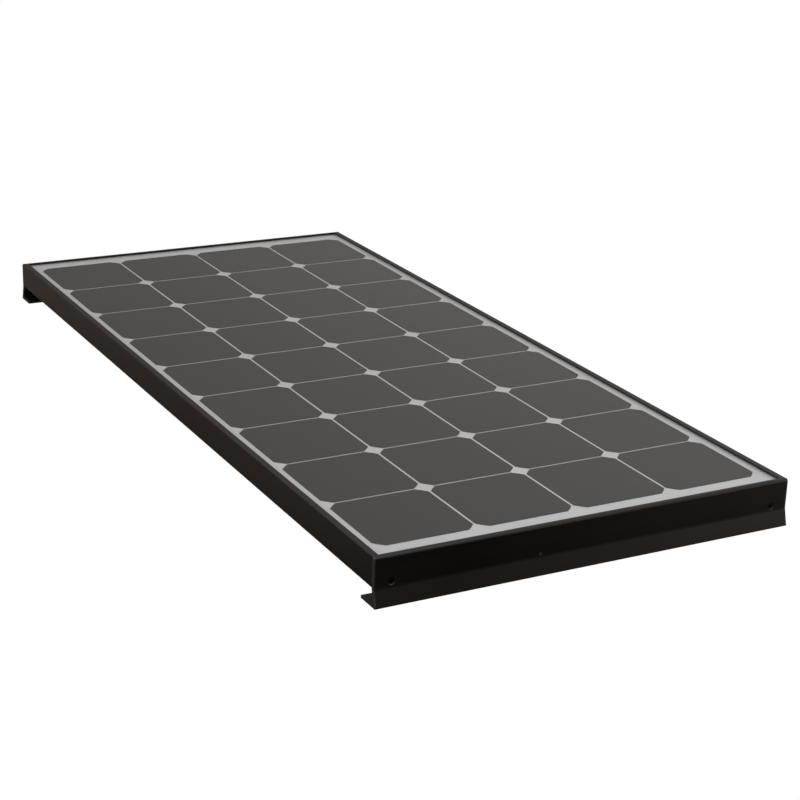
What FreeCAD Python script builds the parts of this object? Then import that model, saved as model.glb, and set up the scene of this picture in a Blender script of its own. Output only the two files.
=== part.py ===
import FreeCAD, Part
import math
import os

# Framed photovoltaic panel on two raised mounting ends, for the roof of a vehicle.
# Millimetres. The origin is the centre of the footprint on the mounting plane, +Z is up
# through the glass, X runs across the panel and Y along it. The two side profiles are the
# same extrusion, one turned half a turn about Z, and so are the two end profiles.

V = FreeCAD.Vector
UP = V(0, 0, 1)
ALONG = V(0, 1, 0)
ACROSS = V(1, 0, 0)

# ---- Driving dimensions -------------------------------------------------------------
PANEL_WIDTH = 543.0
PANEL_LENGTH = 1195.0           # over the upright part of the end walls
TOTAL_HEIGHT = 57.5
FRAME_HEIGHT = 35.5             # side profiles, measured down from the top

CELL_SIDE = 124.2
CELL_INGOT_R = 80.0             # the cell's corners are arcs of the ingot it was cut from
CELL_GAP_X = 2.8
CELL_GAP_Y = 2.0
CELL_COLUMNS = 4
CELL_ROWS = 9
CELL_T = 0.2

SIDE_WALL_T = 1.8
SIDE_LIP_W = 8.4
END_WALL_T = 3.5
END_LIP_W = 6.4
END_TOP_R = 3.5                 # rounding along the top of the end walls
LIP_T = 2.0
JOINT_GAP = 0.15                # hairline between the side and end profiles' lips

FLARE = 5.5                     # how far the end skirt leans out at the bottom
BOND_FLANGE_W = 33.0
BEND_R = 12.0
BEND_BELOW_FRAME = 1.0

GLASS_T = 3.2
ENCAPSULANT_T = 0.4
BACKSHEET_T = 0.35
GLASS_BELOW_LIP = 0.6           # seal over the glass, under the lip
LAMINATE_EDGE_GAP = 0.5

# ---- Levels and frame positions -----------------------------------------------------
FRAME_BOTTOM = TOTAL_HEIGHT - FRAME_HEIGHT
BEND_Z = FRAME_BOTTOM - BEND_BELOW_FRAME
LIP_Z = TOTAL_HEIGHT - LIP_T
GLASS_TOP = LIP_Z - GLASS_BELOW_LIP
GLASS_Z = GLASS_TOP - GLASS_T
CELL_TOP = GLASS_Z - ENCAPSULANT_T
CELL_Z = CELL_TOP - CELL_T
BACKSHEET_TOP = CELL_Z - ENCAPSULANT_T
BACK_Z = BACKSHEET_TOP - BACKSHEET_T
SHELF_Z = LIP_Z - 6.0           # the groove for the laminate is 6 mm high
HALF_W = PANEL_WIDTH / 2
HALF_L = PANEL_LENGTH / 2
END_FACE_Y = HALF_L - END_WALL_T      # where the side profiles butt against the end walls

SHELF_W = 9.8                   # shelf under the laminate, from the outer face
SHELF_T = 1.8
CHAMBER_T = 1.5                 # inner wall and floor of the hollow chamber under the shelf
CHAMBER_Z = FRAME_BOTTOM + 13
SIDE_FLANGE_T = 1.8
PORT_SIZE = 6.0                 # block round each screw bore, at the flange's tip
PORT_U = 21.5                   # screw bore from the outer face
PORT_Z = FRAME_BOTTOM + 4.8
PORT_BORE_R = 1.7

LAMINATE_X = HALF_W - SIDE_WALL_T - LAMINATE_EDGE_GAP
LAMINATE_Y = END_FACE_Y - LAMINATE_EDGE_GAP

# ---- Screws and holes in the frame ----------------------------------------------------
SCREW_HOLE_R = 2.1
SCREW_SHANK_R = 1.65
SCREW_LENGTH = 19.0
SINK_R = 4.6                    # 90 degree countersink, where it meets the wall's face
SCREW_SUNK = 1.0                # how far a screw's head sits below the face
SCREW_HEAD_R = SINK_R - SCREW_SUNK - 0.05
EARTH_HOLE_X = 66.0
EARTH_HOLE_Z = FRAME_BOTTOM + 2.3
EARTH_HOLE_R = 2.0
FRAME_HOLE_R = 3.5
FRAME_HOLE_U = 12.0
FRAME_HOLE_Y = 300.0

# ---- Junction box ---------------------------------------------------------------------
BOX_Y = 500.0
BOX_W = 116.0
BOX_L = 92.0
BOX_H = 20.0
BOX_CORNER_R = 8.0
BOX_WALL = 3.6
BOX_ROOF = 2.2                  # the face that is glued to the backsheet
PAD_T = 0.8
BOX_TOP = BACK_Z - PAD_T
BOX_RIM = BOX_TOP - BOX_H
BOX_ROOF_Z = BOX_TOP - BOX_ROOF
LID_T = 2.2
LID_GAP = 0.2
LID_TOP = BOX_RIM - LID_GAP
LID_Z = LID_TOP - LID_T
LEAD_SLOT_W = 84.0
LEAD_SLOT_L = 6.0
LEAD_SLOT_Y = 526.0

HINGE_Y = BOX_Y + BOX_L / 2 + 4.5
HINGE_Z = LID_Z + 0.85
KNUCKLE_R = 3.0
KNUCKLE_X = 36.0
KNUCKLE_W = 12.0
EAR_W = 5.0
EAR_GAP = 0.3
PIN_R = 1.25
PIN_FIT_IN_EAR = 0.01
PIN_FIT_IN_LID = 0.06

TERMINAL_X = 34.0
TERMINAL_Y = 500.0
TERMINAL_Z = BOX_RIM + 14.35
TERMINAL_T = 1.2

# ---- Cables, glands and connectors ------------------------------------------------------
CABLE_R = 3.0
CONDUCTOR_R = 1.25
CONDUCTOR_FIT = 0.02
CABLE_Z = BOX_RIM + 9.55
GLAND_X = 30.0
CABLE_TURN_Y = 400.0
CABLE_RUN_X = 214.0
CABLE_BEND_R = 32.0
CABLE_END_Y = -200.0
CLIP_YS = (330.0, 160.0, -10.0, -170.0)
HEX_AF = 15.0


# ---- Shape helpers -----------------------------------------------------------------------
def block(x0, x1, y0, y1, z0, z1):
    """Box between two corners."""
    return Part.makeBox(x1 - x0, y1 - y0, z1 - z0, V(x0, y0, z0))


def rod_x(x0, x1, y, z, radius):
    """Cylinder along X."""
    return Part.makeCylinder(radius, x1 - x0, V(x0, y, z), ACROSS)


def rod_y(x, y0, y1, z, radius):
    """Cylinder along Y."""
    return Part.makeCylinder(radius, y1 - y0, V(x, y0, z), ALONG)


def rod_z(x, y, z0, z1, radius):
    """Cylinder along Z."""
    return Part.makeCylinder(radius, z1 - z0, V(x, y, z0), UP)


def tube_y(x, y0, y1, z, outer, inner):
    """Tube along Y."""
    return rod_y(x, y0, y1, z, outer).cut(rod_y(x, y0, y1, z, inner))


def fuse(first, *others):
    """One solid from several that touch."""
    return first.multiFuse(list(others)).removeSplitter()


def cut(body, *tools):
    """The body with every tool taken away."""
    return body.cut(Part.makeCompound(list(tools))) if len(tools) > 1 else body.cut(tools[0])


def half_turn(shape):
    """The same piece turned half a turn about Z."""
    turned = shape.copy()
    turned.rotate(V(0, 0, 0), UP, 180)
    return turned


def rounded_wire(corners, place):
    """Closed wire through (a, b, radius) corners; place(a, b) puts a point in space."""
    spans = []
    for i, (a, b, radius) in enumerate(corners):
        here = V(a, b, 0)
        back = (V(*corners[i - 1][:2], 0) - here).normalize()
        ahead = (V(*corners[(i + 1) % len(corners)][:2], 0) - here).normalize()
        half = back.getAngle(ahead) / 2
        reach = radius / math.tan(half)
        inner = (back + ahead).normalize() * (radius / math.sin(half) - radius)
        spans.append((here + back * reach, here + inner, here + ahead * reach))
    edges = []
    for i, span in enumerate(spans):
        start, middle, end = [place(p.x, p.y) for p in span]
        edges.append(Part.Arc(start, middle, end).toShape())
        following = spans[(i + 1) % len(spans)][0]
        edges.append(Part.makeLine(end, place(following.x, following.y)))
    return Part.Wire(edges)


def hollow_face(outline, *holes):
    """Flat face inside one wire and outside the others."""
    return Part.Face(outline).cut(Part.makeCompound([Part.Face(hole) for hole in holes])).Faces[0]


def rectangle(a0, a1, b0, b1, radius):
    """Corners of a rectangle with equally rounded corners."""
    return [(a0, b0, radius), (a1, b0, radius), (a1, b1, radius), (a0, b1, radius)]


def plan(z):
    """Place function for an outline drawn in X and Y at one height."""
    return lambda x, y: V(x, y, z)


def rounded_block(x0, x1, y0, y1, z0, z1, radius):
    """Box with rounded upright edges."""
    outline = rounded_wire(rectangle(x0, x1, y0, y1, radius), plan(z0))
    return Part.Face(outline).extrude(V(0, 0, z1 - z0))


def hexagon_y(x, y0, y1, z, across_flats):
    """Hexagonal bar along Y."""
    radius = across_flats / math.sqrt(3)
    turns = [math.radians(30 + 60 * i) for i in range(7)]
    points = [V(x + radius * math.cos(t), y0, z + radius * math.sin(t)) for t in turns]
    return Part.Face(Part.makePolygon(points)).extrude(V(0, y1 - y0, 0))


# ---- Frame ---------------------------------------------------------------------------------
def side_section(place):
    """Section of a side profile; u is measured inward from the outer face."""
    shelf_bottom = SHELF_Z - SHELF_T
    inner = SHELF_W - CHAMBER_T
    tip0 = PORT_U - PORT_SIZE / 2
    tip1 = PORT_U + PORT_SIZE / 2
    port_top = PORT_Z + PORT_SIZE / 2
    outline = [
        (0, TOTAL_HEIGHT, 1.0), (SIDE_LIP_W, TOTAL_HEIGHT, 0.5), (SIDE_LIP_W, LIP_Z, 0.3),
        (SIDE_WALL_T, LIP_Z, 0.3), (SIDE_WALL_T, SHELF_Z, 0.3), (SHELF_W, SHELF_Z, 0.4),
        (SHELF_W, CHAMBER_Z, 0.8), (SIDE_WALL_T, CHAMBER_Z, 0.8),
        (SIDE_WALL_T, FRAME_BOTTOM + SIDE_FLANGE_T, 0.8),
        (tip0, FRAME_BOTTOM + SIDE_FLANGE_T, 0.6), (tip0, port_top, 2.6),
        (tip1, port_top, 2.6), (tip1, FRAME_BOTTOM, 0.6),
        (0, FRAME_BOTTOM, 0.6),
    ]
    chamber = rectangle(SIDE_WALL_T, inner, CHAMBER_Z + CHAMBER_T, shelf_bottom, 0.5)
    bore = Part.Wire(Part.makeCircle(PORT_BORE_R, place(PORT_U, PORT_Z), ALONG))
    return hollow_face(rounded_wire(outline, place), rounded_wire(chamber, place), bore)


def side_profile():
    """Left side profile: the extrusion with its two mounting holes."""
    section = side_section(lambda u, z: V(-HALF_W + u, -END_FACE_Y, z))
    bar = section.extrude(V(0, 2 * END_FACE_Y, 0))
    hole_x = -HALF_W + FRAME_HOLE_U
    top = FRAME_BOTTOM + SIDE_FLANGE_T + 1
    holes = [rod_z(hole_x, y, FRAME_BOTTOM - 1, top, FRAME_HOLE_R)
             for y in (-FRAME_HOLE_Y, FRAME_HOLE_Y)]
    return cut(bar, *holes)


def end_section(place):
    """Section of an end profile; v is measured inward from the upright outer face."""
    lean = math.atan2(FLARE, BEND_Z)
    inner_offset = END_WALL_T / math.cos(lean)
    inner_bend_z = BEND_Z - (inner_offset - END_WALL_T) / math.tan(lean)
    foot_v = inner_offset - FLARE * (BEND_Z - END_WALL_T) / BEND_Z
    shelf_end = END_WALL_T + SHELF_W - SIDE_WALL_T
    tip = BOND_FLANGE_W - FLARE
    outline = [
        (0, TOTAL_HEIGHT, END_TOP_R), (END_LIP_W, TOTAL_HEIGHT, 0.5), (END_LIP_W, LIP_Z, 0.3),
        (END_WALL_T, LIP_Z, 0.3), (END_WALL_T, SHELF_Z, 0.3), (shelf_end, SHELF_Z, 0.4),
        (shelf_end, CHAMBER_Z, 0.8), (END_WALL_T, CHAMBER_Z, 0.8),
        (END_WALL_T, inner_bend_z, BEND_R - END_WALL_T), (foot_v, END_WALL_T, 1.5),
        (tip, END_WALL_T, 0.6), (tip, 0, 0.6), (-FLARE, 0, 0.8), (0, BEND_Z, BEND_R),
    ]
    chamber = rectangle(END_WALL_T, shelf_end - CHAMBER_T, CHAMBER_Z + CHAMBER_T,
                        SHELF_Z - SHELF_T, 0.5)
    return hollow_face(rounded_wire(outline, place), rounded_wire(chamber, place))


def end_profile():
    """Front end profile: wall, skirt and bonding flange full width, the lip and the
    shelf notched to sit between the side profiles."""
    section = end_section(lambda v, z: V(-HALF_W, -HALF_L + v, z))
    bar = section.extrude(V(PANEL_WIDTH, 0, 0))
    y0 = -END_FACE_Y
    y1 = y0 + 30
    shelf_x = HALF_W - SHELF_W - JOINT_GAP
    lip_x = HALF_W - SIDE_LIP_W - JOINT_GAP
    notches = []
    for side in (-1, 1):
        for x, z0, z1 in ((shelf_x, FRAME_BOTTOM, SHELF_Z + 1), (lip_x, SHELF_Z + 1, TOTAL_HEIGHT + 1)):
            low, high = sorted((side * x, side * (HALF_W + 1)))
            notches.append(block(low, high, y0, y1, z0, z1))
    screw_x = HALF_W - PORT_U
    wall0 = -HALF_L - 1
    holes = [rod_y(x, wall0, y0 + 1, PORT_Z, SCREW_HOLE_R) for x in (-screw_x, screw_x)]
    holes.append(rod_y(-EARTH_HOLE_X, wall0, y0 + 1, EARTH_HOLE_Z, EARTH_HOLE_R))
    sinks = [Part.makeCone(SINK_R + 1, 1, SINK_R, V(x, wall0, PORT_Z), ALONG) for x in (-screw_x, screw_x)]
    return cut(bar, *notches, *holes, *sinks)


def corner_screw(x):
    """Self-tapping countersunk screw through the front end wall into a side profile's bore."""
    face = -HALF_L + SCREW_SUNK
    tip_y = face + SCREW_LENGTH
    head = Part.makeCone(SCREW_HEAD_R, SCREW_SHANK_R, SCREW_HEAD_R - SCREW_SHANK_R, V(x, face, PORT_Z), ALONG)
    shank = rod_y(x, face + 1, tip_y - 3, PORT_Z, SCREW_SHANK_R)
    tip = Part.makeCone(SCREW_SHANK_R, 0.4, 3, V(x, tip_y - 3, PORT_Z), ALONG)
    arm = 1.8
    slot = 0.4
    depth = 1.2
    cross = fuse(block(x - arm, x + arm, face - 1, face + depth, PORT_Z - slot, PORT_Z + slot),
                 block(x - slot, x + slot, face - 1, face + depth, PORT_Z - arm, PORT_Z + arm))
    return cut(fuse(head, shank, tip), cross)


def corner_screws():
    """Four screws, two in each end wall."""
    x = HALF_W - PORT_U
    front = [corner_screw(-x), corner_screw(x)]
    return Part.makeCompound(front + [half_turn(screw) for screw in front])


def frame_seal():
    """Ring of sealant that fills the frame's groove round the laminate's edge."""
    back_off = 0.5
    outer = block(-HALF_W + SIDE_WALL_T, HALF_W - SIDE_WALL_T, -END_FACE_Y, END_FACE_Y, SHELF_Z, LIP_Z)
    window_x = HALF_W - SIDE_LIP_W + back_off
    window_y = HALF_L - END_LIP_W + back_off
    window = block(-window_x, window_x, -window_y, window_y, SHELF_Z - 1, LIP_Z + 1)
    laminate = block(-LAMINATE_X, LAMINATE_X, -LAMINATE_Y, LAMINATE_Y, BACK_Z, GLASS_TOP)
    groove_edges = [e for e in outer.Edges if abs(e.Length - 2 * END_FACE_Y) < 1 or e.Length > 500]
    return outer.makeFillet(0.32, groove_edges).cut(window).cut(laminate)


# ---- Laminate --------------------------------------------------------------------------------
def sheet(z0, z1):
    """Flat sheet of the laminate's full size."""
    return block(-LAMINATE_X, LAMINATE_X, -LAMINATE_Y, LAMINATE_Y, z0, z1)


def front_glass():
    """Tempered glass with a ground edge."""
    glass = sheet(GLASS_Z, GLASS_TOP)
    return glass.makeChamfer(0.5, glass.Edges)


def cell_centres():
    """Centres of the cells, column by column."""
    for column in range(CELL_COLUMNS):
        for row in range(CELL_ROWS):
            yield ((column - (CELL_COLUMNS - 1) / 2) * (CELL_SIDE + CELL_GAP_X),
                   (row - (CELL_ROWS - 1) / 2) * (CELL_SIDE + CELL_GAP_Y))


def cell_prism(x, y, z0, z1, grow):
    """Square with corners cut by the ingot's circle, grown by a little on every side."""
    half = CELL_SIDE / 2 + grow
    ingot = rod_z(x, y, z0, z1, CELL_INGOT_R + grow)
    return block(x - half, x + half, y - half, y + half, z0, z1).common(ingot)


def solar_cells():
    """All the cells, each its own wafer."""
    return Part.makeCompound([cell_prism(x, y, CELL_Z, CELL_TOP, 0) for x, y in cell_centres()])


INTERCONNECT_T = 0.12
INTERCONNECT_W = 8.0
INTERCONNECT_L = 104.0


def cell_interconnects():
    """One tinned copper strip behind each gap in a column, with three pads on each cell."""
    strips = []
    for x, y in cell_centres():
        if y > (CELL_ROWS - 2) / 2 * (CELL_SIDE + CELL_GAP_Y):
            continue
        gap_y = y + (CELL_SIDE + CELL_GAP_Y) / 2
        z0 = CELL_Z - INTERCONNECT_T
        strip = block(x - INTERCONNECT_L / 2, x + INTERCONNECT_L / 2, gap_y - 2, gap_y + 2, z0, CELL_Z)
        pads = [block(x + dx - 5, x + dx + 5, gap_y - INTERCONNECT_W, gap_y + INTERCONNECT_W, z0, CELL_Z)
                for dx in (-INTERCONNECT_L / 2 + 5, 0, INTERCONNECT_L / 2 - 5)]
        strips.append(fuse(strip, *pads))
    return Part.makeCompound(strips)


RIBBON_T = 0.3
RIBBON_W = 5.0
RIBBON_Y = 552.0                # ribbons lie behind the last row of cells


def ribbon(x0, x1, y):
    """Flat ribbon across the panel, just behind the cells."""
    return block(x0, x1, y - RIBBON_W / 2, y + RIBBON_W / 2, CELL_Z - RIBBON_T, CELL_Z)


def cross_ribbons():
    """Two ribbons at the front end that join the columns in pairs."""
    pitch = CELL_SIDE + CELL_GAP_X
    return Part.makeCompound([ribbon(x - pitch + 20, x + pitch - 20, -RIBBON_Y) for x in (-pitch, pitch)])


def output_leads():
    """Three ribbons at the rear end, each with a tail that goes through the backsheet
    and turns onto its terminal plate in the junction box."""
    pitch = CELL_SIDE + CELL_GAP_X
    strip_z0 = CELL_Z - RIBBON_T
    tail_z = TERMINAL_Z + TERMINAL_T
    leads = []
    for tail_x, x0, x1 in ((-TERMINAL_X, -2 * pitch + 20, -TERMINAL_X + 3), (0, -18, 18),
                           (TERMINAL_X, TERMINAL_X - 3, 2 * pitch - 20)):
        cross = ribbon(x0, x1, RIBBON_Y)
        back = block(tail_x - 3, tail_x + 3, LEAD_SLOT_Y, RIBBON_Y, strip_z0, CELL_Z)
        drop = block(tail_x - 3, tail_x + 3, LEAD_SLOT_Y, LEAD_SLOT_Y + RIBBON_T, tail_z, strip_z0 + RIBBON_T)
        foot = block(tail_x - 3, tail_x + 3, TERMINAL_Y + 5, LEAD_SLOT_Y + RIBBON_T, tail_z, tail_z + RIBBON_T)
        screw_hole = rod_z(tail_x, TERMINAL_Y + 8, tail_z - 1, tail_z + 1, 1.6)
        leads.append(fuse(cross, back, drop, foot).cut(screw_hole))
    return Part.makeCompound(leads)


def lead_slot(z0, z1, margin):
    """Opening that the output leads go through."""
    half_x = LEAD_SLOT_W / 2 + margin
    half_y = LEAD_SLOT_L / 2 + margin
    return block(-half_x, half_x, LEAD_SLOT_Y - half_y, LEAD_SLOT_Y + half_y, z0, z1)


def front_encapsulant():
    """Clear sheet between the glass and the cells."""
    return sheet(CELL_TOP, GLASS_Z)


def rear_encapsulant(interconnects, ribbons, leads):
    """Clear sheet behind the cells, which fills the gaps between them."""
    pockets = [cell_prism(x, y, CELL_Z, CELL_TOP + 1, 0.05) for x, y in cell_centres()]
    body = sheet(BACKSHEET_TOP, CELL_TOP).cut(Part.makeCompound(pockets))
    body = body.cut(interconnects).cut(ribbons).cut(leads)
    return body.cut(lead_slot(BACKSHEET_TOP - 1, CELL_Z, 0))


def backsheet():
    """White polymer sheet with a slot for the output leads."""
    return sheet(BACK_Z, BACKSHEET_TOP).cut(lead_slot(BACK_Z - 1, BACKSHEET_TOP + 1, 0))


def rating_label():
    """Blank label on the back."""
    return rounded_block(-170, -70, 455, 525, BACK_Z - 0.15, BACK_Z, 3)


# ---- Junction box ------------------------------------------------------------------------------
def box_block(inset, z0, z1):
    """Block with the junction box's outline, moved in by inset."""
    half_x = BOX_W / 2 - inset
    half_y = BOX_L / 2 - inset
    radius = max(BOX_CORNER_R - inset, 1)
    return rounded_block(-half_x, half_x, BOX_Y - half_y, BOX_Y + half_y, z0, z1, radius)


def jbox_pad():
    """Adhesive pad between the box and the backsheet."""
    return box_block(1.5, BOX_TOP, BACK_Z).cut(lead_slot(BOX_TOP - 1, BACK_Z + 1, 1))


def knuckle(x0, x1, bore):
    """Round hinge eye along X."""
    return rod_x(x0, x1, HINGE_Y, HINGE_Z, KNUCKLE_R).cut(rod_x(x0, x1, HINGE_Y, HINGE_Z, bore))


def ear_spans():
    """X spans of the four ears on the base."""
    for side in (-1, 1):
        for outward in (-1, 1):
            near = side * KNUCKLE_X + outward * (KNUCKLE_W / 2 + EAR_GAP)
            yield tuple(sorted((near, near + outward * EAR_W)))


SEAL_INSET = 1.0
SEAL_W = 1.6
SEAL_DEPTH = 1.2


def jbox_base():
    """Open box with hinge ears, a seal groove in its rim, gland holes and terminal posts."""
    wall_y = BOX_Y + BOX_L / 2
    shell = box_block(0, BOX_RIM, BOX_TOP).cut(box_block(BOX_WALL, BOX_RIM - 1, BOX_ROOF_Z))
    groove = box_block(SEAL_INSET, BOX_RIM - 1, BOX_RIM + SEAL_DEPTH)
    groove = groove.cut(box_block(SEAL_INSET + SEAL_W, BOX_RIM - 2, BOX_RIM + SEAL_DEPTH + 1))
    shell = shell.cut(groove).cut(lead_slot(BOX_ROOF_Z - 1, BOX_TOP + 1, 0))
    additions = []
    bores = []
    for x0, x1 in ear_spans():
        additions.append(rod_x(x0, x1, HINGE_Y, HINGE_Z, KNUCKLE_R))
        additions.append(block(x0, x1, wall_y - 0.5, HINGE_Y + KNUCKLE_R, BOX_RIM, BOX_RIM + 4))
        bores.append(rod_x(x0 - 1, x1 + 1, HINGE_Y, HINGE_Z, PIN_R + PIN_FIT_IN_EAR))
    for x in (-TERMINAL_X, 0, TERMINAL_X):
        for y in (TERMINAL_Y - 8, TERMINAL_Y + 8):
            additions.append(rod_z(x, y, TERMINAL_Z + TERMINAL_T + RIBBON_T, BOX_ROOF_Z + 0.5, 3.5))
            bores.append(rod_z(x, y, TERMINAL_Z, BOX_ROOF_Z, 1.3))
    catch_y = BOX_Y - BOX_L / 2
    additions.append(block(-8, 8, catch_y - 0.6, catch_y + 0.5, BOX_RIM + 6.2, BOX_RIM + 7.2))
    for x in (-GLAND_X, GLAND_X):
        bores.append(rod_y(x, catch_y - 1, catch_y + BOX_WALL + 1, CABLE_Z, 6.0))
    return cut(fuse(shell, *additions), *bores)


def lid_seal():
    """Rubber ring in the rim's groove."""
    slack = 0.05
    z0 = BOX_RIM - LID_GAP + slack
    z1 = BOX_RIM + SEAL_DEPTH
    ring = box_block(SEAL_INSET + slack, z0, z1)
    return ring.cut(box_block(SEAL_INSET + SEAL_W - slack, z0 - 1, z1 + 1))


def jbox_lid():
    """Lid with a locating rim, two hinge knuckles, stiffening panel and a snap tongue."""
    plate = box_block(0, LID_Z, LID_TOP)
    outer_edges = [e for e in plate.Edges if abs(e.BoundBox.ZMax - LID_Z) < 1e-6]
    plate = plate.makeFillet(1.0, outer_edges)
    recess = box_block(9, LID_Z - 1, LID_Z + 0.6)
    rim = box_block(BOX_WALL + 0.6, LID_TOP - 0.5, LID_TOP + 2.2)
    rim = rim.cut(box_block(BOX_WALL + 2.2, LID_TOP, LID_TOP + 3))
    edge_y = BOX_Y + BOX_L / 2
    additions = [rim]
    bores = []
    for side in (-1, 1):
        x0 = side * KNUCKLE_X - KNUCKLE_W / 2
        x1 = x0 + KNUCKLE_W
        additions.append(rod_x(x0, x1, HINGE_Y, HINGE_Z, KNUCKLE_R))
        additions.append(block(x0, x1, edge_y - 1.5, HINGE_Y, LID_Z, LID_TOP))
        bores.append(rod_x(x0 - 1, x1 + 1, HINGE_Y, HINGE_Z, PIN_R + PIN_FIT_IN_LID))
    tongue_y1 = BOX_Y - BOX_L / 2 - 1.4
    tongue_y0 = tongue_y1 - 1.6
    nib_z = BOX_RIM + 7.5
    additions.append(block(-8, 8, tongue_y0, tongue_y1, LID_Z, nib_z + 1.2))
    additions.append(block(-8, 8, tongue_y0, BOX_Y - BOX_L / 2 + 2, LID_Z, LID_TOP))
    additions.append(block(-8, 8, tongue_y1 - 0.5, tongue_y1 + 0.6, nib_z, nib_z + 1.2))
    return cut(fuse(plate.cut(recess), *additions), *bores)


def hinge_pins():
    """Two pins, each through one lid knuckle and the ears on either side of it."""
    reach = KNUCKLE_W / 2 + EAR_GAP + EAR_W
    pins = []
    for side in (-1, 1):
        x = side * KNUCKLE_X
        shank = rod_x(x - reach, x + reach, HINGE_Y, HINGE_Z, PIN_R)
        head0, head1 = sorted((x + side * reach, x + side * (reach + 1.0)))
        pins.append(fuse(shank, rod_x(head0, head1, HINGE_Y, HINGE_Z, PIN_R + 0.9)))
    return Part.makeCompound(pins)


def terminal_plates():
    """Three tinned copper plates; the outer two reach forward to the cable conductors."""
    plates = []
    for x in (-TERMINAL_X, 0, TERMINAL_X):
        front = TERMINAL_Y - (26 if x else 14)
        plate = rounded_block(x - 8, x + 8, front, TERMINAL_Y + 14, TERMINAL_Z, TERMINAL_Z + TERMINAL_T, 1.5)
        holes = [rod_z(x, y, TERMINAL_Z - 1, TERMINAL_Z + TERMINAL_T + 1, 1.55)
                 for y in (TERMINAL_Y - 8, TERMINAL_Y + 8)]
        if x:
            lug_x = math.copysign(GLAND_X, x)
            lug = tube_y(lug_x, front, front + 10, CABLE_Z, 2.6, CONDUCTOR_R + CONDUCTOR_FIT)
            stem = block(lug_x - 1.5, lug_x + 1.5, front, front + 10, CABLE_Z + 2, TERMINAL_Z + 0.5)
            plate = fuse(plate, lug, stem)
        plates.append(cut(plate, *holes))
    return Part.makeCompound(plates)


def terminal_screws():
    """Six screws that hold the plates, clamp the leads and hold the diodes' legs."""
    screws = []
    for x in (-TERMINAL_X, 0, TERMINAL_X):
        for y in (TERMINAL_Y - 8, TERMINAL_Y + 8):
            head_z = TERMINAL_Z - DIODE_LEG_T
            shank = rod_z(x, y, head_z, BOX_ROOF_Z - 0.2, 1.28)
            head = rod_z(x, y, head_z - 1.8, head_z, 2.7)
            slot = block(x - 3, x + 3, y - 0.4, y + 0.4, head_z - 2.8, head_z - 1.0)
            screws.append(cut(fuse(shank, head), slot))
    return Part.makeCompound(screws)


DIODE_LEG_T = 0.6
DIODE_R = 3.0


def bypass_diodes():
    """Two axial diodes, each bridging two neighbouring terminal plates."""
    y = TERMINAL_Y - 8
    z = TERMINAL_Z - DIODE_R - 0.6
    diodes = []
    for middle in (-TERMINAL_X / 2, TERMINAL_X / 2):
        body = rod_x(middle - 5, middle + 5, y, z, DIODE_R)
        parts = [body]
        for side in (-1, 1):
            leg_x = middle + side * TERMINAL_X / 2 - side * 3.6
            low, high = sorted((middle + side * 5, leg_x))
            parts.append(rod_x(low, high, y, z, 0.6))
            parts.append(block(leg_x - 0.6, leg_x + 0.6, y - 0.6, y + 0.6, z - 0.6, TERMINAL_Z))
            parts.append(leg_washer(middle + side * TERMINAL_X / 2, leg_x, side, y))
        diodes.append(fuse(*parts))
    return Part.makeCompound(diodes)


def leg_washer(terminal_x, leg_x, side, y):
    """Half-ring foot of a diode's leg, under the terminal screw's head."""
    z0 = TERMINAL_Z - DIODE_LEG_T
    ring = rod_z(terminal_x, y, z0, TERMINAL_Z, 3.4).cut(rod_z(terminal_x, y, z0, TERMINAL_Z, 1.45))
    low, high = sorted((terminal_x - side * 0.2, terminal_x - side * 5))
    half = ring.common(block(low, high, y - 4, y + 4, z0, TERMINAL_Z))
    bridge0, bridge1 = sorted((leg_x + side * 0.6, leg_x - side * 0.6))
    return fuse(half, block(bridge0, bridge1, y - 0.6, y + 0.6, z0, TERMINAL_Z))


# ---- Cables, glands, clips ---------------------------------------------------------------------
GLAND_FACE_Y = BOX_Y - BOX_L / 2
GLAND_BORE_R = CABLE_R + 0.1
GLAND_SEAT_R = 4.6


def gland_bodies():
    """Two gland bodies screwed into the box wall."""
    face = GLAND_FACE_Y
    bodies = []
    for x in (-GLAND_X, GLAND_X):
        body = fuse(hexagon_y(x, face - 4, face, CABLE_Z, HEX_AF),
                    rod_y(x, face, face + BOX_WALL + 2, CABLE_Z, 5.95),
                    rod_y(x, face - 13, face - 4, CABLE_Z, 6.0))
        bore = rod_y(x, face - 14, face + BOX_WALL + 3, CABLE_Z, GLAND_BORE_R)
        seat = rod_y(x, face - 14, face - 7, CABLE_Z, GLAND_SEAT_R)
        bodies.append(cut(body, fuse(bore, seat)))
    return Part.makeCompound(bodies)


def gland_seals():
    """Rubber sleeves squeezed round the cables."""
    face = GLAND_FACE_Y
    return Part.makeCompound([tube_y(x, face - 13.4, face - 7, CABLE_Z, GLAND_SEAT_R - 0.02, CABLE_R + 0.02)
                              for x in (-GLAND_X, GLAND_X)])


def gland_nuts():
    """Domed hexagonal nuts that close the glands."""
    face = GLAND_FACE_Y
    nuts = []
    for x in (-GLAND_X, GLAND_X):
        body = fuse(hexagon_y(x, face - 13, face - 4.2, CABLE_Z, HEX_AF),
                    Part.makeCone(5.0, 7.4, 4, V(x, face - 17, CABLE_Z), ALONG))
        bore = rod_y(x, face - 13.5, face - 4, CABLE_Z, 6.05)
        mouth = rod_y(x, face - 18, face - 13, CABLE_Z, CABLE_R + 0.3)
        nuts.append(cut(body, fuse(bore, mouth)))
    return Part.makeCompound(nuts)


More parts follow.
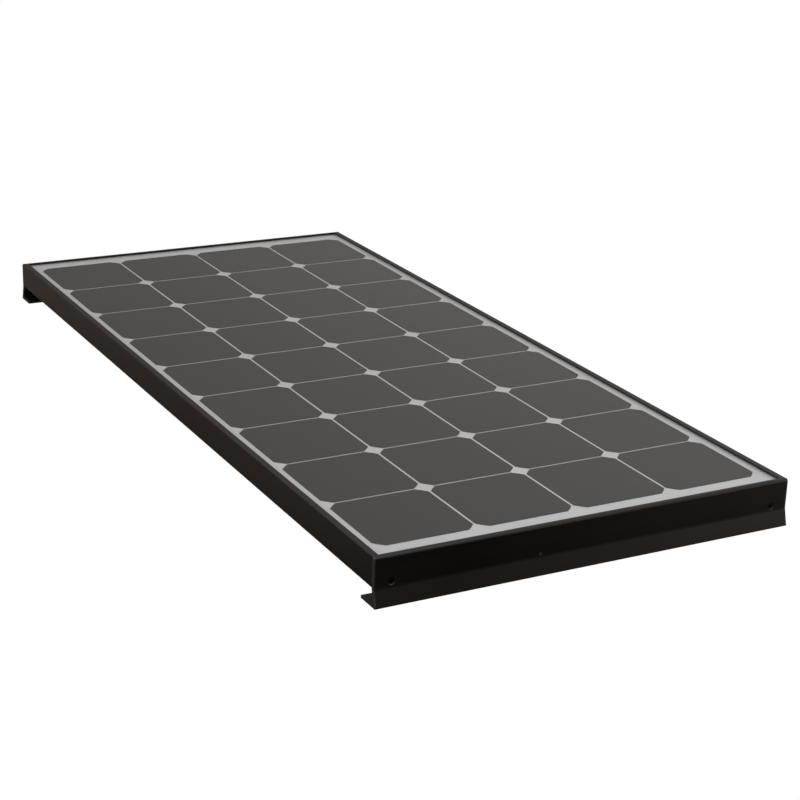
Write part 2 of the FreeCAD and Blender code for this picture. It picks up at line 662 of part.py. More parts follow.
def cable_path(side, y_start, y_end):
    """Centre line of a cable: out of the gland, across to the side, then along it."""
    r = CABLE_BEND_R
    x0 = side * GLAND_X
    x1 = side * CABLE_RUN_X
    turn = CABLE_TURN_Y
    diagonal = r * (1 - math.sqrt(0.5))

    def at(x, y):
        return V(x, y, CABLE_Z)

    return Part.Wire([
        Part.makeLine(at(x0, y_start), at(x0, turn + r)),
        Part.Arc(at(x0, turn + r), at(x0 + side * diagonal, turn + diagonal),
                 at(x0 + side * r, turn)).toShape(),
        Part.makeLine(at(x0 + side * r, turn), at(x1 - side * r, turn)),
        Part.Arc(at(x1 - side * r, turn), at(x1 - side * diagonal, turn - diagonal),
                 at(x1, turn - r)).toShape(),
        Part.makeLine(at(x1, turn - r), at(x1, y_end)),
    ])


def swept(side, y_start, y_end, radius):
    """Round bar along the cable's centre line."""
    circle = Part.Wire(Part.makeCircle(radius, V(side * GLAND_X, y_start, CABLE_Z), ALONG))
    return cable_path(side, y_start, y_end).makePipeShell([circle], True, False)


CABLE_START_Y = BOX_Y - BOX_L / 2 + BOX_WALL + 6
CONDUCTOR_START_Y = TERMINAL_Y - 17
CONDUCTOR_END_Y = CABLE_END_Y - 16


def cable_jacket(side):
    """Cable insulation, hollow for its conductor."""
    jacket = swept(side, CABLE_START_Y, CABLE_END_Y - 8, CABLE_R)
    return jacket.cut(swept(side, CABLE_START_Y + 1, CABLE_END_Y - 9, CONDUCTOR_R + CONDUCTOR_FIT))


def cable_conductors():
    """Stranded copper cores of both cables."""
    return Part.makeCompound([swept(side, CONDUCTOR_START_Y, CONDUCTOR_END_Y, CONDUCTOR_R)
                              for side in (-1, 1)])


def cable_clip(x, y):
    """Stick-on clip: a foot on the backsheet and a C-shaped clamp round the cable."""
    foot = rounded_block(x - 10, x + 10, y - 8, y + 8, BACK_Z - 1.8, BACK_Z, 2)
    stem = block(x - 2.5, x + 2.5, y - 5, y + 5, CABLE_Z + 3.5, BACK_Z - 1.5)
    ring = rod_y(x, y - 5, y + 5, CABLE_Z, CABLE_R + 1.5)
    bore = rod_y(x, y - 6, y + 6, CABLE_Z, CABLE_R + 0.03)
    mouth = block(x - 1.8, x + 1.8, y - 6, y + 6, CABLE_Z - 6, CABLE_Z)
    return cut(fuse(foot, stem, ring), fuse(bore, mouth))


def cable_clips():
    """Clips along both cables."""
    return Part.makeCompound([cable_clip(side * CABLE_RUN_X, y) for side in (-1, 1) for y in CLIP_YS])


# ---- Connectors ----------------------------------------------------------------------------------
NUT_R = 8.2
NUT_L = 17.0
THREAD_R = 6.4
CONTACT_FIT = 0.02
NOSE_R = 6.1
SLEEVE_R = 9.0
SLEEVE_BORE_R = 6.3


def connector_nut(x):
    """Ribbed cap nut that clamps the cable."""
    y1 = CABLE_END_Y
    body = rod_y(x, y1 - NUT_L, y1, CABLE_Z, NUT_R)
    ribs = []
    for i in range(8):
        turn = math.radians(45 * i)
        ribs.append(rod_y(x + NUT_R * math.cos(turn), y1 - NUT_L + 2, y1 - 3,
                          CABLE_Z + NUT_R * math.sin(turn), 0.8))
    bore = rod_y(x, y1 - NUT_L - 1, y1 - 4, CABLE_Z, THREAD_R + 0.05)
    mouth = rod_y(x, y1 - 5, y1 + 1, CABLE_Z, CABLE_R + 0.3)
    return cut(fuse(body, *ribs), fuse(bore, mouth))


def connector_seal(x):
    """Rubber sleeve round the cable, inside the nut."""
    return tube_y(x, CABLE_END_Y - 8, CABLE_END_Y - 4.1, CABLE_Z, 5.4, CABLE_R + 0.02)


def collar_y():
    """Where the collar behind a connector's front part starts."""
    return CABLE_END_Y - NUT_L


def plug_housing(x):
    """Insulator with a long nose and two snap fingers."""
    y = collar_y()
    solid = fuse(rod_y(x, y - 1, CABLE_END_Y - 8.2, CABLE_Z, THREAD_R),
                 rod_y(x, y - 14, y - 0.2, CABLE_Z, 8.6),
                 rod_y(x, y - 40, y - 13, CABLE_Z, NOSE_R))
    fingers = []
    for side in (-1, 1):
        low, high = sorted((x + side * 7.2, x + side * 9.2))
        fingers.append(block(low, high, y - 34, y - 10, CABLE_Z - 2.5, CABLE_Z + 2.5))
    bores = fuse(rod_y(x, y - 30, CABLE_END_Y - 7, CABLE_Z, 2.6 + CONTACT_FIT),
                 rod_y(x, y - 41, y - 20, CABLE_Z, 4.0))
    return cut(fuse(solid, *fingers), bores)


def plug_contact(x):
    """Round pin with a crimp barrel."""
    y = collar_y()
    barrel = rod_y(x, y - 20, CABLE_END_Y - 9.2, CABLE_Z, 2.6)
    pin = rod_y(x, y - 38, y - 19, CABLE_Z, 2.0)
    bore = rod_y(x, CONDUCTOR_END_Y, CABLE_END_Y - 9, CABLE_Z, CONDUCTOR_R + CONDUCTOR_FIT)
    return cut(fuse(barrel, pin), bore)


def socket_housing(x):
    """Insulator with a wide sleeve that takes a plug's nose, and two snap windows."""
    y = collar_y()
    solid = fuse(rod_y(x, y - 1, CABLE_END_Y - 8.2, CABLE_Z, THREAD_R),
                 rod_y(x, y - 38, y - 0.2, CABLE_Z, SLEEVE_R))
    bores = fuse(rod_y(x, y - 14, CABLE_END_Y - 7, CABLE_Z, 2.6 + CONTACT_FIT),
                 rod_y(x, y - 39, y - 12, CABLE_Z, SLEEVE_BORE_R))
    windows = block(x - 12, x + 12, y - 28, y - 20, CABLE_Z - 2.8, CABLE_Z + 2.8)
    return cut(solid, bores, windows)


def socket_contact(x):
    """Tubular contact that takes a plug's pin, with a crimp barrel."""
    y = collar_y()
    barrel = rod_y(x, y - 13, CABLE_END_Y - 9.2, CABLE_Z, 2.6)
    sleeve = rod_y(x, y - 34, y - 12.1, CABLE_Z, 3.3)
    crimp = rod_y(x, CONDUCTOR_END_Y, CABLE_END_Y - 9, CABLE_Z, CONDUCTOR_R + CONDUCTOR_FIT)
    mouth = rod_y(x, y - 35, y - 15, CABLE_Z, 2.05)
    return cut(fuse(barrel, sleeve), crimp, mouth)


# ---- All the pieces --------------------------------------------------------------------------------
def pieces():
    """Every node's name and shape."""
    left = side_profile()
    front = end_profile()
    interconnects = cell_interconnects()
    ribbons = cross_ribbons()
    leads = output_leads()
    plug_x = CABLE_RUN_X
    socket_x = -CABLE_RUN_X
    return {
        "side_profile_left": left,
        "side_profile_right": half_turn(left),
        "end_profile_front": front,
        "end_profile_rear": half_turn(front),
        "corner_screws": corner_screws(),
        "frame_seal": frame_seal(),
        "front_glass": front_glass(),
        "front_encapsulant": front_encapsulant(),
        "solar_cells": solar_cells(),
        "cell_interconnects": interconnects,
        "cross_ribbons": ribbons,
        "output_leads": leads,
        "rear_encapsulant": rear_encapsulant(interconnects, ribbons, leads),
        "backsheet": backsheet(),
        "rating_label": rating_label(),
        "jbox_pad": jbox_pad(),
        "jbox_base": jbox_base(),
        "jbox_lid": jbox_lid(),
        "lid_seal": lid_seal(),
        "hinge_pins": hinge_pins(),
        "terminal_plates": terminal_plates(),
        "terminal_screws": terminal_screws(),
        "bypass_diodes": bypass_diodes(),
        "gland_bodies": gland_bodies(),
        "gland_seals": gland_seals(),
        "gland_nuts": gland_nuts(),
        "negative_cable": cable_jacket(-1),
        "positive_cable": cable_jacket(1),
        "cable_conductors": cable_conductors(),
        "cable_clips": cable_clips(),
        "plug_housing": plug_housing(plug_x),
        "plug_nut": connector_nut(plug_x),
        "plug_seal": connector_seal(plug_x),
        "plug_contact": plug_contact(plug_x),
        "socket_housing": socket_housing(socket_x),
        "socket_nut": connector_nut(socket_x),
        "socket_seal": connector_seal(socket_x),
        "socket_contact": socket_contact(socket_x),
    }


os.makedirs("parts", exist_ok=True)
for name, shape in pieces().items():
    if not shape.isValid():
        raise ValueError(name + " is not a valid shape")
    shape.exportStep("parts/" + name + ".step")
    print(name, len(shape.Solids), round(shape.Volume / 1000, 3))
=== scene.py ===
import math

import bmesh
import bpy
from mathutils import Euler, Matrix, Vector

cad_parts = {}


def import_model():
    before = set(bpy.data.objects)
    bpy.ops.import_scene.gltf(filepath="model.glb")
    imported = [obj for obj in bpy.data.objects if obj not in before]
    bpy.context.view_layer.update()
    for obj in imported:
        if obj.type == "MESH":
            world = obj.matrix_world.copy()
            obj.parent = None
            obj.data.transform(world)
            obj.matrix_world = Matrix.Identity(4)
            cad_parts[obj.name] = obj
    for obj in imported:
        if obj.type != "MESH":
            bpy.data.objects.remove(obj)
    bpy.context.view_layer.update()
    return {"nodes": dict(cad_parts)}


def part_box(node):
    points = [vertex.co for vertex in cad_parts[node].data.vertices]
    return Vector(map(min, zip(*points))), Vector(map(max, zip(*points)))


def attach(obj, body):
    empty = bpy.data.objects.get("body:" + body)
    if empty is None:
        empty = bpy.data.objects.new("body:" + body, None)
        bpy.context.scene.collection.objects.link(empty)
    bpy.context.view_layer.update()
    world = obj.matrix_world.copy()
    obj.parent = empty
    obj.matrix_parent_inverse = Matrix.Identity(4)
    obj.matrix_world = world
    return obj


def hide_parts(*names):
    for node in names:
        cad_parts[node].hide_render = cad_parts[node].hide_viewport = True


# Looks for the roof-mounted solar panel: one optical slab for the clear layers, a finish for
# every piece, the floor, soft studio light and the camera. Metres, in the CAD's frame.

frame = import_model()
nodes = frame["nodes"]

MM = 0.001

NOISE_MOST = (0.35, 0.65)       # most of a noise pattern's values lie between these
NOISE_ALL = (0.30, 0.70)        # and nearly all of them between these


# ---- Node graphs ---------------------------------------------------------------------------------
class Graph:
    """Nodes of a material or of the world. Patterns are placed in metres, and ride with the piece."""

    def __init__(self, block):
        block.use_nodes = True
        self.block = block
        self.tree = block.node_tree
        self.tree.nodes.clear()
        self.coordinates = self.node("TexCoord").outputs
        self.place = self.coordinates["Object"]

    def feed(self, socket, value):
        """Links a socket to another node's output, or sets its value."""
        if isinstance(value, bpy.types.NodeSocket):
            self.tree.links.new(value, socket)
        elif socket.type == "RGBA" and len(value) == 3:
            socket.default_value = (*value, 1)
        else:
            socket.default_value = value

    def node(self, kind, settings=None, **inputs):
        """New shader node. An input's name has _ for a space."""
        made = self.tree.nodes.new("ShaderNode" + kind)
        for key, value in (settings or {}).items():
            setattr(made, key, value)
        for key, value in inputs.items():
            self.feed(made.inputs[key.replace("_", " ")], value)
        return made

    def maths(self, operation, *values):
        """Result of a Math node."""
        made = self.node("Math", {"operation": operation})
        for socket, value in zip(made.inputs, values):
            self.feed(socket, value)
        return made.outputs[0]

    def vector_maths(self, operation, *values):
        """The Vector Math node itself, because its result may be a vector or a value."""
        made = self.node("VectorMath", {"operation": operation})
        for socket, value in zip(made.inputs, values):
            self.feed(socket, value)
        return made

    def blend(self, share, a, b):
        """Colour between a and b."""
        made = self.node("Mix", {"data_type": "RGBA"})
        for socket, value in zip((made.inputs[0], made.inputs[6], made.inputs[7]), (share, a, b)):
            self.feed(socket, value)
        return made.outputs[2]

    def shader(self, kind, **inputs):
        """Output of a shader node."""
        return self.node(kind, **inputs).outputs[0]

    def mix(self, share, a, b):
        """Shader between a and b."""
        made = self.node("MixShader", Fac=share)
        self.feed(made.inputs[1], a)
        self.feed(made.inputs[2], b)
        return made.outputs[0]

    def add(self, a, b):
        """Sum of two shaders."""
        made = self.node("AddShader")
        self.feed(made.inputs[0], a)
        self.feed(made.inputs[1], b)
        return made.outputs[0]

    def spread(self, value, low, high, to_low=0.0, to_high=1.0):
        """Value mapped from one range onto another, and held inside it."""
        made = self.node("MapRange", Value=value, From_Min=low, From_Max=high,
                         To_Min=to_low, To_Max=to_high)
        return made.outputs[0]

    def noise(self, scale, detail=2.0, stretch=(1, 1, 1)):
        """Smooth noise round 0.5, with about scale features to the metre."""
        place = self.node("Mapping", Vector=self.place, Scale=stretch).outputs[0]
        return self.node("TexNoise", Vector=place, Scale=scale, Detail=detail).outputs[0]

    def bump(self, height, depth, strength=1.0, below=None):
        """Normal for a height field of that depth in metres, on top of another bump."""
        made = self.node("Bump", Height=height, Distance=depth, Strength=strength)
        if below is not None:
            self.feed(made.inputs["Normal"], below)
        return made.outputs[0]

    def axes(self):
        """X, Y and Z of the place."""
        return self.node("SeparateXYZ", Vector=self.place).outputs

    def edge_mask(self, radius):
        """1 on sharp outer and inner edges, 0 on flat faces."""
        soft = self.node("Bevel", {"samples": 4}, Radius=radius).outputs[0]
        flat = self.node("NewGeometry").outputs["Normal"]
        alike = self.vector_maths("DOT_PRODUCT", soft, flat).outputs["Value"]
        return self.spread(alike, 0.995, 0.80)

    def upward(self):
        """1 on faces that look up, 0 on the others."""
        flat = self.node("NewGeometry").outputs["Normal"]
        return self.spread(self.node("SeparateXYZ", Vector=flat).outputs[2], 0.5, 0.95)

    def camera_ray(self):
        """1 for what the camera sees directly, 0 for bounced light."""
        return self.node("LightPath").outputs["Is Camera Ray"]

    def output(self, surface, kind="OutputMaterial"):
        """Ends the graph with this shader."""
        self.node(kind, Surface=surface)
        return self.block

    def principled(self, **inputs):
        """Ends the graph with a Principled shader."""
        return self.output(self.shader("BsdfPrincipled", **inputs))


def material_graph(name):
    """Graph of a new, empty material."""
    return Graph(bpy.data.materials.new(name))


# ---- Materials -----------------------------------------------------------------------------------
BLACK_ANODISED = ((0.0046, 0.0036, 0.0028), (0.0078, 0.0062, 0.0050))
# Edge colour of the anodised frame: partly edge wear, partly a painted edge highlight.
WORN_EDGE_AND_HIGHLIGHT = (0.050, 0.045, 0.040)
SAWN_METAL = (0.060, 0.055, 0.050)
DUST = (0.30, 0.28, 0.26)
EDGE_WEAR_AND_HIGHLIGHT_RADIUS = 0.7 * MM
DUST_SHARE = 0.05


def anodised(name, stretch, sawn_x=None):
    """Satin black anodised extrusion with faint die lines; stretch is small along the bar.
    Beyond sawn_x on either side the metal is bare, where the bar was cut and deburred."""
    g = material_graph(name)
    bands = g.noise(160, 3, stretch)
    lines = g.noise(1400, 2, stretch)
    grain = g.noise(2600, 2)
    cloud = g.noise(7, 4)
    mottle = g.maths("ADD", g.maths("MULTIPLY", bands, 0.6), g.maths("MULTIPLY", cloud, 0.4))
    colour = g.blend(g.spread(mottle, *NOISE_MOST), *BLACK_ANODISED)
    # Sharp edges are lightened: partly edge wear, partly a painted edge highlight.
    colour = g.blend(g.maths("MULTIPLY", g.edge_mask(EDGE_WEAR_AND_HIGHLIGHT_RADIUS), 0.5), colour, WORN_EDGE_AND_HIGHLIGHT)
    dust = g.maths("MULTIPLY", g.upward(), g.spread(g.noise(900, 4), 0.45, 0.75))
    colour = g.blend(g.maths("MULTIPLY", dust, DUST_SHARE), colour, DUST)
    if sawn_x is not None:
        beyond = g.spread(g.maths("ABSOLUTE", g.axes()[0]), sawn_x, sawn_x + 0.3 * MM)
        colour = g.blend(beyond, colour, SAWN_METAL)
    satin = g.spread(cloud, *NOISE_ALL, 0.34, 0.42)
    rough = g.maths("ADD", satin, g.spread(lines, *NOISE_ALL, -0.03, 0.05))
    normal = g.bump(lines, depth=0.012 * MM, strength=0.6)
    normal = g.bump(grain, depth=0.008 * MM, strength=0.5, below=normal)
    return g.principled(Base_Color=colour, Roughness=rough, Normal=normal, IOR=1.5,
                        Specular_IOR_Level=0.5)


def moulded(name, low, high, rough=0.5):
    """Moulded plastic with a spark-eroded texture and slightly paler edges."""
    g = material_graph(name)
    pits = g.noise(1800, 3)
    colour = g.blend(g.spread(g.noise(40, 3), *NOISE_MOST), low, high)
    rubbed = tuple(4 * part + 0.01 for part in high)
    colour = g.blend(g.maths("MULTIPLY", g.edge_mask(0.5 * MM), 0.35), colour, rubbed)
    rough = g.spread(pits, *NOISE_ALL, rough - 0.06, rough + 0.08)
    normal = g.bump(pits, depth=0.03 * MM, strength=0.5)
    return g.principled(Base_Color=colour, Roughness=rough, Normal=normal, IOR=1.5)


def rubber(name, colour):
    """Matte rubber or sealant with a slightly uneven skin."""
    g = material_graph(name)
    skin = g.noise(500, 4)
    tone = g.blend(g.spread(skin, *NOISE_MOST), colour, tuple(1.6 * part for part in colour))
    rough = g.spread(g.noise(90, 2), *NOISE_ALL, 0.55, 0.72)
    normal = g.bump(skin, depth=0.05 * MM, strength=0.5)
    return g.principled(Base_Color=tone, Roughness=rough, Normal=normal, IOR=1.45)


def metal(name, dark, bright, rough, stretch=(1, 1, 1)):
    """Bare or plated metal, streaked along its length."""
    g = material_graph(name)
    streaks = g.noise(1500, 3, stretch)
    colour = g.blend(g.spread(g.noise(120, 4), 0.4, 0.7), bright, dark)
    rough = g.spread(streaks, *NOISE_ALL, rough - 0.08, rough + 0.1)
    normal = g.bump(streaks, depth=0.01 * MM, strength=0.5)
    return g.principled(Base_Color=colour, Metallic=1.0, Roughness=rough, Normal=normal)


def dipped_tin(name, dark, bright):
    """Dipped tin, dull and pale."""
    g = material_graph(name)
    colour = g.blend(g.spread(g.noise(300, 3), *NOISE_MOST), dark, bright)
    rough = g.spread(g.noise(900, 2), *NOISE_ALL, 0.55, 0.70)
    normal = g.bump(g.noise(700, 2), depth=0.02 * MM, strength=0.4)
    return g.principled(Base_Color=colour, Metallic=0.25, Roughness=rough, Normal=normal)


# The cell grid, across and along. Its pitch is read back from the wafers' own box.
CELL_COUNTS = (4, 9)
CELL_SIDE = 124.2 * MM
CELL_CORNER_R = 80 * MM
CELL_PITCHES = [(high - low - CELL_SIDE) / (count - 1)
                for low, high, count in zip(*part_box("solar_cells"), CELL_COUNTS)]


def cell_grid(g):
    """(index, place from the centre) of the cell at each point, for both axes."""
    indices, offsets = [], []
    for axis, (pitch, count) in enumerate(zip(CELL_PITCHES, CELL_COUNTS)):
        steps = g.maths("ADD", g.maths("DIVIDE", g.axes()[axis], pitch), count / 2)
        indices.append(g.maths("FLOOR", steps))
        offsets.append(g.maths("MULTIPLY", g.maths("SUBTRACT", g.maths("FRACT", steps), 0.5), pitch))
    return indices, offsets


def cell_edge_distance(g, offsets):
    """Distance in metres from a cell's edge, positive inside."""
    u, v = [g.maths("SUBTRACT", CELL_SIDE / 2, g.maths("ABSOLUTE", part)) for part in offsets]
    squares = g.maths("ADD", *[g.maths("MULTIPLY", part, part) for part in offsets])
    corner = g.maths("SUBTRACT", CELL_CORNER_R, g.maths("SQRT", squares))
    return g.maths("MINIMUM", g.maths("MINIMUM", u, v), corner)


WAFER_BLUISH = (0.0150, 0.0155, 0.0175)
WAFER_BROWNISH = (0.0195, 0.0178, 0.0160)
WAFER_GREENISH = (0.0150, 0.0168, 0.0150)
WAFER_CLOUD = (0.0215, 0.0205, 0.0200)
WAFER_RIM = (0.0085, 0.0100, 0.0160)
RIM_WIDTH = 1.6 * MM
TINT_SEED = 3.0


def silicon():
    """Dark textured wafers; each has its own faint tint, and its coating turns bluer at the rim."""
    g = material_graph("silicon_cell")
    (column, row), offsets = cell_grid(g)
    key = g.node("CombineXYZ", X=column, Y=row, Z=TINT_SEED).outputs[0]
    draw = g.node("TexWhiteNoise", {"noise_dimensions": "3D"}, Vector=key)
    tint = g.blend(draw.outputs["Value"], WAFER_BLUISH, WAFER_BROWNISH)
    shade = g.node("SeparateColor", Color=draw.outputs["Color"]).outputs[1]
    tint = g.blend(g.maths("MULTIPLY", shade, 0.5), tint, WAFER_GREENISH)
    cloud = g.spread(g.noise(18, 3), 0.35, 0.7)
    tint = g.blend(g.maths("MULTIPLY", cloud, 0.4), tint, WAFER_CLOUD)
    rim = g.spread(cell_edge_distance(g, offsets), RIM_WIDTH, 0.0, 0.0, 0.6)
    tint = g.blend(rim, tint, WAFER_RIM)
    pyramids = g.noise(9000, 1)
    rough = g.spread(pyramids, *NOISE_ALL, 0.42, 0.56)
    normal = g.bump(pyramids, depth=0.004 * MM, strength=0.4)
    return g.principled(Base_Color=tint, Roughness=rough, Normal=normal, IOR=1.7,
                        Specular_IOR_Level=0.35)


WHITE_FILM = ((0.80, 0.82, 0.86), (0.86, 0.88, 0.91))


def backsheet_film():
    """White film: smooth behind the glass, faintly embossed by the cells on its rear side."""
    g = material_graph("white_backsheet")
    fibres = g.noise(600, 4)
    colour = g.blend(g.spread(g.noise(9, 3), *NOISE_MOST), *WHITE_FILM)
    relief = g.spread(cell_edge_distance(g, cell_grid(g)[1]), -0.6 * MM, 0.8 * MM)
    normal = g.bump(relief, depth=0.12 * MM, strength=0.7)
    normal = g.bump(fibres, depth=0.03 * MM, strength=0.4, below=normal)
    rough = g.spread(fibres, *NOISE_ALL, 0.45, 0.6)
    return g.principled(Base_Color=colour, Roughness=rough, Normal=normal, IOR=1.45)


GLASS_BODY = (0.985, 0.99, 0.985)
GLASS_SHADE = (0.93, 0.935, 0.93)
GLASS_IOR = 1.5
COATED_IOR = 1.46                       # the coated face mirrors a little less than bare glass


def solar_glass():
    """Low-iron glass with a coated, slightly satin face. Lamps and bounced light pass straight in."""
    g = material_graph("solar_glass")
    satin = g.bump(g.noise(700, 2), depth=0.006 * MM, strength=0.5)
    mirror = g.shader("BsdfGlossy", Color=(1, 1, 1), Roughness=0.16, Normal=satin)
    inside = g.shader("BsdfRefraction", Color=GLASS_BODY, Roughness=0.0, IOR=GLASS_IOR)
    seen = g.mix(g.node("Fresnel", IOR=COATED_IOR).outputs[0], inside, mirror)
    clear = g.shader("BsdfTransparent", Color=GLASS_SHADE)
    return g.output(g.mix(g.camera_ray(), clear, seen))


LABEL_SILVER = ((0.55, 0.55, 0.54), (0.63, 0.63, 0.62))
LABEL_PRINT = (0.03, 0.03, 0.03)
LABEL_LINES = (2, 7)                    # lines across and along
LABEL_LINE_WIDTH = 0.5 * MM


def label_film():
    """Blank silver label with empty table lines and no lettering."""
    g = material_graph("label_film")
    lines = []
    for axis, low, high, count in zip(g.axes(), *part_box("rating_label"), LABEL_LINES):
        spacing = (high - low) / count
        steps = g.maths("FRACT", g.maths("DIVIDE", g.maths("SUBTRACT", axis, low), spacing))
        away = g.maths("MULTIPLY", g.maths("ABSOLUTE", g.maths("SUBTRACT", steps, 0.5)), spacing)
        lines.append(g.maths("LESS_THAN", away, LABEL_LINE_WIDTH / 2))
    film = g.blend(g.spread(g.noise(900, 2), *NOISE_ALL), *LABEL_SILVER)
    colour = g.blend(g.maths("MAXIMUM", *lines), film, LABEL_PRINT)
    normal = g.bump(g.noise(300, 2), depth=0.02 * MM, strength=0.4)
    return g.principled(Base_Color=colour, Metallic=0.2, Roughness=0.38, Normal=normal)


ALONG_X = (0.004, 1, 1)
ALONG_Y = (1, 0.004, 1)
PIN_ALONG_X = (0.02, 1, 1)
SAWN_BAND = 1.8 * MM                    # bare metal at each cut end of an end profile
sawn_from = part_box("end_profile_front")[1].x - SAWN_BAND

FINISHES = (
    (anodised("black_anodised_side", ALONG_Y), ("side_profile_left", "side_profile_right")),
    (anodised("black_anodised_end", ALONG_X, sawn_from), ("end_profile_front", "end_profile_rear")),
    (metal("black_screw", (0.020, 0.019, 0.018), (0.045, 0.043, 0.041), 0.34), ("corner_screws",)),
    (rubber("black_sealant", (0.012, 0.012, 0.012)), ("frame_seal",)),
    (silicon(), ("solar_cells",)),
    (dipped_tin("matte_tin", (0.66, 0.66, 0.65), (0.74, 0.74, 0.73)),
     ("cell_interconnects", "cross_ribbons")),
    (metal("tinned_copper", (0.50, 0.49, 0.47), (0.72, 0.71, 0.69), 0.30),
     ("output_leads", "terminal_plates", "plug_contact", "socket_contact")),
    (backsheet_film(), ("backsheet",)),
    (label_film(), ("rating_label",)),
    (rubber("adhesive_foam", (0.10, 0.10, 0.10)), ("jbox_pad",)),
    (moulded("black_plastic", (0.010, 0.010, 0.010), (0.016, 0.016, 0.016)),
     ("jbox_base", "jbox_lid", "gland_bodies", "gland_nuts", "cable_clips", "plug_housing",
      "plug_nut", "socket_housing", "socket_nut")),
    (rubber("black_rubber", (0.010, 0.010, 0.010)),
     ("lid_seal", "gland_seals", "plug_seal", "socket_seal")),
    (metal("stainless_steel", (0.42, 0.42, 0.43), (0.60, 0.60, 0.60), 0.30, PIN_ALONG_X),
     ("hinge_pins", "terminal_screws")),
    (moulded("diode_epoxy", (0.008, 0.008, 0.009), (0.014, 0.014, 0.015), 0.35), ("bypass_diodes",)),
    (rubber("cable_jacket", (0.009, 0.009, 0.009)), ("negative_cable", "positive_cable")),
    (metal("copper", (0.42, 0.20, 0.11), (0.72, 0.38, 0.24), 0.32), ("cable_conductors",)),
)


def dress_nodes():
    """Gives each carried-over CAD node its finish."""
    for material, names in FINISHES:
        for name in names:
            nodes[name].data.materials.clear()
            nodes[name].data.materials.append(material)


# ---- New pieces ----------------------------------------------------------------------------------
def mesh_object(name, mesh, material):
    """Object in the scene with one material."""
    piece = bpy.data.objects.new(name, mesh)
    bpy.context.scene.collection.objects.link(piece)
    mesh.materials.append(material)
    return piece


def laminate_glass():
    """One optical slab for the glass and both encapsulant sheets, so that light is bent once.
    Its foot sits just inside the backsheet, which leaves no second surface in front of the film."""
    foot = 0.1 * MM
    inset = 0.02 * MM
    bevel = 0.5 * MM
    low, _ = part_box("rear_encapsulant")
    _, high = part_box("front_glass")
    bm = bmesh.new()
    bmesh.ops.create_cube(bm, size=1)
    size = Vector((high.x - low.x - 2 * inset, high.y - low.y - 2 * inset, high.z - low.z + foot))
    middle = Vector(((high.x + low.x) / 2, (high.y + low.y) / 2, (high.z + low.z - foot) / 2))
    for vertex in bm.verts:
        vertex.co = Vector(a * b for a, b in zip(vertex.co, size)) + middle
    top = [edge for edge in bm.edges if all(v.co.z > middle.z for v in edge.verts)]
    bmesh.ops.bevel(bm, geom=top, offset=bevel, segments=3, affect="EDGES", profile=0.5)
    mesh = bpy.data.meshes.new("laminate_glass")
    bm.to_mesh(mesh)
    bm.free()
    piece = mesh_object("laminate_glass", mesh, solar_glass())
    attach(piece, "panel")
    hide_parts("front_glass", "front_encapsulant", "rear_encapsulant")


# ---- Studio --------------------------------------------------------------------------------------
FLOOR_HALF_SIDE = 30
FLOOR_DROP = 0.5 * MM                   # below the panel's feet
FLOOR_COLOUR = (0.29, 0.238, 0.203)
# Tones of the painted pools of light and of the painted shadow on the floor.
FLOOR_PAINTED_LIGHT = (0.75, 0.69, 0.64)
FLOOR_PAINTED_SHADOW = (0.020, 0.016, 0.013)
# Round painted pools of light and a painted shadow on the floor: middle, radius of full tone, radius
# where it has faded, share, tone.
FLOOR_PAINTED_LIGHT_AND_SHADOW = (
    ((0.80, 0.05, 0), 0.42, 0.78, 1.0, FLOOR_PAINTED_LIGHT),         # beside the right profile
    ((-0.62, 0.75, 0), 0.25, 0.85, 0.26, FLOOR_PAINTED_LIGHT),       # beside the left profile's far end
    ((-0.12, -0.85, 0), 0.15, 0.55, 1.0, FLOOR_PAINTED_SHADOW),       # in front of the near corner
)
UNDER_X, UNDER_Y = 0.235, 0.57          # half sides of the floor's area under the panel
GLOW_BELOW = 0.42


def floor():
    """Warm floor with pale areas of painted light and a dark area of painted shadow. The camera sees
    plain white round the panel, and from below nothing. The area under the panel glows for bounced light
    only, so that the underside can be looked at."""
    g = material_graph("floor_paper")
    seen = g.camera_ray()
    x, y, _ = g.axes()
    outside = g.maths("MAXIMUM", g.maths("GREATER_THAN", g.maths("ABSOLUTE", x), UNDER_X),
                      g.maths("GREATER_THAN", g.maths("ABSOLUTE", y), UNDER_Y))
    colour = FLOOR_COLOUR
    for middle, full, faded, share, tone in FLOOR_PAINTED_LIGHT_AND_SHADOW:
        away = g.vector_maths("DISTANCE", g.place, middle).outputs["Value"]
        # Blends in the painted pools of light and the painted shadow.
        colour = g.blend(g.spread(away, faded, full, 0.0, share), colour, tone)
    paper = g.shader("BsdfDiffuse", Color=colour)
    bounced_below = g.maths("SUBTRACT", 1.0, g.maths("MAXIMUM", seen, outside))
    glow = g.shader("Emission", Color=(1, 1, 1), Strength=g.maths("MULTIPLY", bounced_below, GLOW_BELOW))
    white = g.shader("Emission", Color=(1, 1, 1), Strength=1.0)
    top = g.mix(g.maths("MULTIPLY", seen, outside), g.add(paper, glow), white)
    from_below = g.node("NewGeometry").outputs["Backfacing"]
    surface = g.mix(from_below, top, g.shader("BsdfTransparent"))
    side = FLOOR_HALF_SIDE
    corners = [(-side, -side), (side, -side), (side, side), (-side, side)]
    mesh = bpy.data.meshes.new("floor")
    mesh.from_pydata([(*corner, -FLOOR_DROP) for corner in corners], [], [(0, 1, 2, 3)])
    mesh_object("floor", mesh, g.output(surface))


DOME_LOW = (0.02, 0.02, 0.02)
# Soft glows on the dome: direction, sharpness and colour.
GLOWS = (
    ((0.0, 0.0, 1.0), 1.6, (0.62, 0.605, 0.59)),
    ((0.93, 0.32, 0.25), 4.0, (0.52, 0.49, 0.46)),
    ((0.50, 0.87, 0.14), 40.0, (0.14, 0.12, 0.10)),
    ((-0.65, 0.70, 0.30), 5.0, (0.52, 0.48, 0.44)),
    ((0.62, -0.68, 0.50), 5.0, (0.24, 0.19, 0.15)),
    ((-0.60, -0.75, 0.40), 3.0, (0.28, 0.25, 0.22)),
)


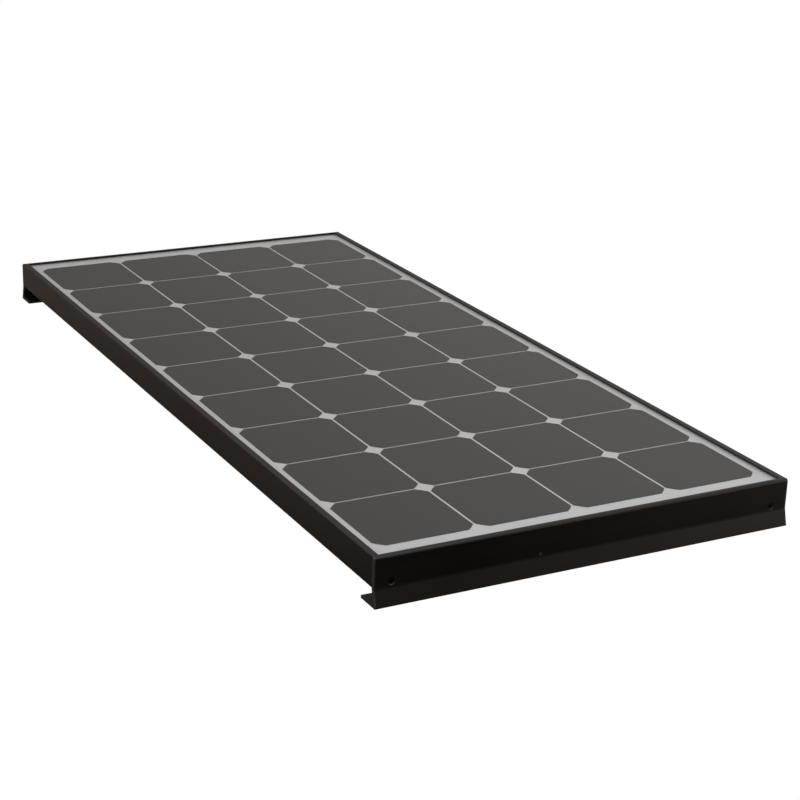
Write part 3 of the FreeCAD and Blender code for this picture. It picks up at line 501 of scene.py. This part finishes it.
def world():
    """Dim dome with soft glows. The camera sees plain white."""
    g = Graph(bpy.data.worlds.new("studio"))
    toward = g.coordinates["Generated"]
    total = DOME_LOW
    for direction, sharpness, colour in GLOWS:
        axis = Vector(direction).normalized()
        facing = g.vector_maths("DOT_PRODUCT", toward, axis).outputs["Value"]
        scaled = g.vector_maths("SCALE", colour)
        g.feed(scaled.inputs["Scale"], g.maths("POWER", g.maths("MAXIMUM", facing, 0.0), sharpness))
        total = g.vector_maths("ADD", total, scaled.outputs[0]).outputs[0]
    dome = g.shader("Background", Color=total)
    white = g.shader("Background", Color=(1, 1, 1))
    bpy.context.scene.world = g.output(g.mix(g.camera_ray(), dome, white), "OutputWorld")


# Round lamps that face the panel: name, place, radius in metres, strength and colour.
LAMPS = (
    ("lamp_front_right", (1.15, -1.45, 0.35), 0.6, 1.35, (1.0, 0.82, 0.68)),
    ("lamp_over_front", (0.0, -0.85, 0.70), 0.35, 1.9, (0.92, 0.97, 1.08)),
)


def soft_lamp(name, at, radius, strength, colour):
    """Round lamp that fades towards its rim and faces the panel's middle. The camera doesn't see it."""
    g = material_graph(name)
    away = g.vector_maths("LENGTH", g.place).outputs["Value"]
    level = g.spread(away, radius, 0.0, 0.0, strength)
    lit = g.add(g.shader("Emission", Color=colour, Strength=level), g.shader("BsdfTransparent"))
    bm = bmesh.new()
    bmesh.ops.create_circle(bm, cap_ends=True, radius=radius, segments=48)
    mesh = bpy.data.meshes.new(name)
    bm.to_mesh(mesh)
    bm.free()
    lamp = mesh_object(name, mesh, g.output(lit))
    lamp.location = at
    lamp.rotation_euler = (-Vector(at)).to_track_quat("-Z", "Y").to_euler()
    lamp.visible_camera = False


CAMERA_AT = (-1.1189, -2.2027, 0.8873)
CAMERA_YAW = -29.18                     # degrees from +Y, turned towards +X
CAMERA_PITCH = -19.767
CAMERA_ROLL = 2.158
CAMERA_LENS = 86.285
CAMERA_SHIFT = (-0.0266, -0.0019)
CAMERA_REACH = 100


def camera():
    """Long lens from the near left, above the panel."""
    data = bpy.data.cameras.new("camera")
    data.lens = CAMERA_LENS
    data.shift_x, data.shift_y = CAMERA_SHIFT
    data.clip_end = CAMERA_REACH
    view = bpy.data.objects.new("camera", data)
    view.location = CAMERA_AT
    level = Euler((math.radians(90 + CAMERA_PITCH), 0, math.radians(CAMERA_YAW))).to_matrix()
    view.rotation_euler = (level @ Euler((0, 0, math.radians(CAMERA_ROLL))).to_matrix()).to_euler()
    bpy.context.scene.collection.objects.link(view)
    bpy.context.scene.camera = view


def studio():
    """Floor, light and camera."""
    floor()
    world()
    for lamp in LAMPS:
        soft_lamp(*lamp)
    camera()
    bpy.context.scene.view_settings.view_transform = "Standard"


dress_nodes()
laminate_glass()
studio()
